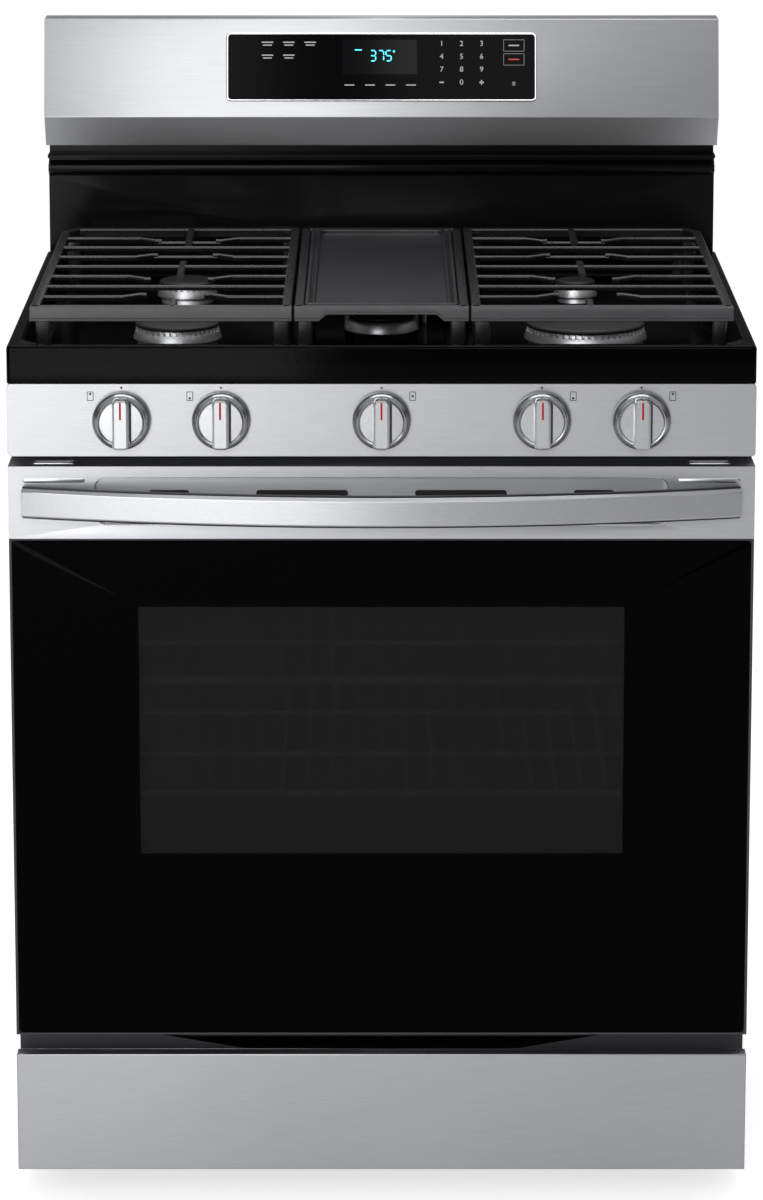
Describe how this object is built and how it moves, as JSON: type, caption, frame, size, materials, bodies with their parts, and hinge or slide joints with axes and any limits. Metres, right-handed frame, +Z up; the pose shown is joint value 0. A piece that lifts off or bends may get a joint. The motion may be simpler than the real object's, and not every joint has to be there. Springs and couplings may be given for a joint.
{
  "type": "freestanding gas range",
  "caption": "Freestanding gas range with cast grates, a griddle, front knobs, a hinged oven door with a bowed handle and a storage drawer.",
  "frame": {"origin": "on the floor under the feet, at the middle of the outer box", "axes": "+X to the right seen from the front, +Y towards the wall, +Z up"},
  "size_m": [0.757, 0.712, 1.177],
  "materials": {
    "black_paint": "satin black",
    "galvanised_sheet": "galvanised steel sheet",
    "black_enamel": "gloss black enamel",
    "oven_enamel": "speckled dark grey enamel",
    "glass_wool": "matte fibre",
    "woven_gasket": "woven",
    "burner_steel": "plain steel",
    "lamp_glass": "clear",
    "foot_plastic": "matte",
    "cast_aluminium": "satin cast",
    "white_ceramic": "matte",
    "cap_enamel": "matte black enamel",
    "brass": "machined",
    "tube_aluminium": "drawn tube",
    "stainless_steel": "horizontally brushed",
    "black_glass": "gloss black",
    "circuit_board": "matte green",
    "cast_iron": "matte enamelled",
    "griddle_coating": "non-stick satin",
    "rack_chrome": "bright wire",
    "dark_steel": "satin dark grey",
    "clear_glass": "clear",
    "drawer_paint": "satin dark grey",
    "knob_metal": "satin with bright bevel"
  },
  "bodies": {
    "range_body": {"side_panel_left": "black_paint", "side_panel_right": "black_paint", "rear_panel": "galvanised_sheet", "base_frame": "galvanised_sheet", "front_frame": "black_enamel", "oven_liner": "oven_enamel", "oven_floor": "oven_enamel", "oven_insulation": "glass_wool", "door_gasket": "woven_gasket", "bake_burner": "burner_steel", "broil_burner": "burner_steel", "oven_lamp": "lamp_glass", "leveling_feet": "foot_plastic", "cooktop_pan": "black_enamel", "burner_bases": "cast_aluminium", "burner_heads": "cast_aluminium", "spark_electrodes": "white_ceramic", "gas_regulator": "cast_aluminium", "gas_manifold": "burner_steel", "gas_valves": "brass", "burner_tubes": "tube_aluminium", "knob_panel": "stainless_steel", "backguard_base": "black_enamel", "backguard_cover": "stainless_steel", "control_glass": "black_glass", "control_board": "circuit_board", "hinge_brackets": "burner_steel"},
    "door": {"door_frame": "dark_steel", "door_glass": "black_glass", "door_top_trim": "stainless_steel", "door_inner_panel": "oven_enamel", "door_window_frame": "galvanised_sheet", "door_inner_glass": "clear_glass", "door_handle": "stainless_steel", "handle_mounts": "dark_steel", "door_hinges": "burner_steel"},
    "drawer": {"drawer_front": "stainless_steel", "drawer_backing": "drawer_paint", "drawer_box": "drawer_paint"},
    "grate_left": {"grate_left": "cast_iron"},
    "grate_right": {"grate_right": "cast_iron"},
    "grate_middle": {"grate_middle": "cast_iron"},
    "griddle": {"griddle": "griddle_coating"},
    "rack_upper": {"rack_upper": "rack_chrome"},
    "rack_lower": {"rack_lower": "rack_chrome"},
    "valve_1": {"valve_stem_1": "brass"},
    "knob_1": {"knob_1": "knob_metal"},
    "valve_2": {"valve_stem_2": "brass"},
    "knob_2": {"knob_2": "knob_metal"},
    "valve_3": {"valve_stem_3": "brass"},
    "knob_3": {"knob_3": "knob_metal"},
    "valve_4": {"valve_stem_4": "brass"},
    "knob_4": {"knob_4": "knob_metal"},
    "valve_5": {"valve_stem_5": "brass"},
    "knob_5": {"knob_5": "knob_metal"},
    "cap_front_left": {"cap_front_left": "cap_enamel"},
    "cap_front_right": {"cap_front_right": "cap_enamel"},
    "cap_rear_left": {"cap_rear_left": "cap_enamel"},
    "cap_rear_right": {"cap_rear_right": "cap_enamel"},
    "cap_middle": {"cap_middle": "cap_enamel"}
  },
  "joints": [
    {"name": "door_hinge", "type": "hinge", "parent": "range_body", "child": "door", "pos_m": [0, -0.278, 0.196], "axis": [1, 0, 0], "range_deg": [0, 90], "stiffness_Nm_per_rad": 24, "springref_deg": -17.19},
    {"name": "drawer_slide", "type": "slide", "parent": "range_body", "child": "drawer", "axis": [0, -1, 0], "range_m": [0, 0.4]},
    {"name": "knob_1_push", "type": "slide", "parent": "range_body", "child": "valve_1", "axis": [0, 1, 0], "range_m": [0, 0.004], "stiffness_N_per_m": 600},
    {"name": "knob_1_turn", "type": "hinge", "parent": "valve_1", "child": "knob_1", "pos_m": [-0.2625, -0.294, 0.838], "axis": [0, -1, 0], "range_deg": [0, 240]},
    {"name": "knob_2_push", "type": "slide", "parent": "range_body", "child": "valve_2", "axis": [0, 1, 0], "range_m": [0, 0.004], "stiffness_N_per_m": 600},
    {"name": "knob_2_turn", "type": "hinge", "parent": "valve_2", "child": "knob_2", "pos_m": [-0.162, -0.294, 0.838], "axis": [0, -1, 0], "range_deg": [0, 240]},
    {"name": "knob_3_push", "type": "slide", "parent": "range_body", "child": "valve_3", "axis": [0, 1, 0], "range_m": [0, 0.004], "stiffness_N_per_m": 600},
    {"name": "knob_3_turn", "type": "hinge", "parent": "valve_3", "child": "knob_3", "pos_m": [0, -0.294, 0.838], "axis": [0, -1, 0], "range_deg": [0, 240]},
    {"name": "knob_4_push", "type": "slide", "parent": "range_body", "child": "valve_4", "axis": [0, 1, 0], "range_m": [0, 0.004], "stiffness_N_per_m": 600},
    {"name": "knob_4_turn", "type": "hinge", "parent": "valve_4", "child": "knob_4", "pos_m": [0.162, -0.294, 0.838], "axis": [0, -1, 0], "range_deg": [0, 240]},
    {"name": "knob_5_push", "type": "slide", "parent": "range_body", "child": "valve_5", "axis": [0, 1, 0], "range_m": [0, 0.004], "stiffness_N_per_m": 600},
    {"name": "knob_5_turn", "type": "hinge", "parent": "valve_5", "child": "knob_5", "pos_m": [0.2625, -0.294, 0.838], "axis": [0, -1, 0], "range_deg": [0, 240]},
    {"name": "grate_left_lift", "type": "slide", "parent": "range_body", "child": "grate_left", "axis": [0, 0, 1], "range_m": [0, 0.12]},
    {"name": "grate_right_lift", "type": "slide", "parent": "range_body", "child": "grate_right", "axis": [0, 0, 1], "range_m": [0, 0.12]},
    {"name": "grate_middle_lift", "type": "slide", "parent": "range_body", "child": "grate_middle", "axis": [0, 0, 1], "range_m": [0, 0.12]},
    {"name": "griddle_lift", "type": "slide", "parent": "grate_middle", "child": "griddle", "axis": [0, 0, 1], "range_m": [0, 0.1]},
    {"name": "cap_front_left_lift", "type": "slide", "parent": "range_body", "child": "cap_front_left", "axis": [0, 0, 1], "range_m": [0, 0.02]},
    {"name": "cap_front_right_lift", "type": "slide", "parent": "range_body", "child": "cap_front_right", "axis": [0, 0, 1], "range_m": [0, 0.02]},
    {"name": "cap_rear_left_lift", "type": "slide", "parent": "range_body", "child": "cap_rear_left", "axis": [0, 0, 1], "range_m": [0, 0.02]},
    {"name": "cap_rear_right_lift", "type": "slide", "parent": "range_body", "child": "cap_rear_right", "axis": [0, 0, 1], "range_m": [0, 0.02]},
    {"name": "cap_middle_lift", "type": "slide", "parent": "range_body", "child": "cap_middle", "axis": [0, 0, 1], "range_m": [0, 0.02]},
    {"name": "rack_upper_slide", "type": "slide", "parent": "range_body", "child": "rack_upper", "axis": [0, -1, 0], "range_m": [0, 0.03]},
    {"name": "rack_lower_slide", "type": "slide", "parent": "range_body", "child": "rack_lower", "axis": [0, -1, 0], "range_m": [0, 0.03]}
  ]
}
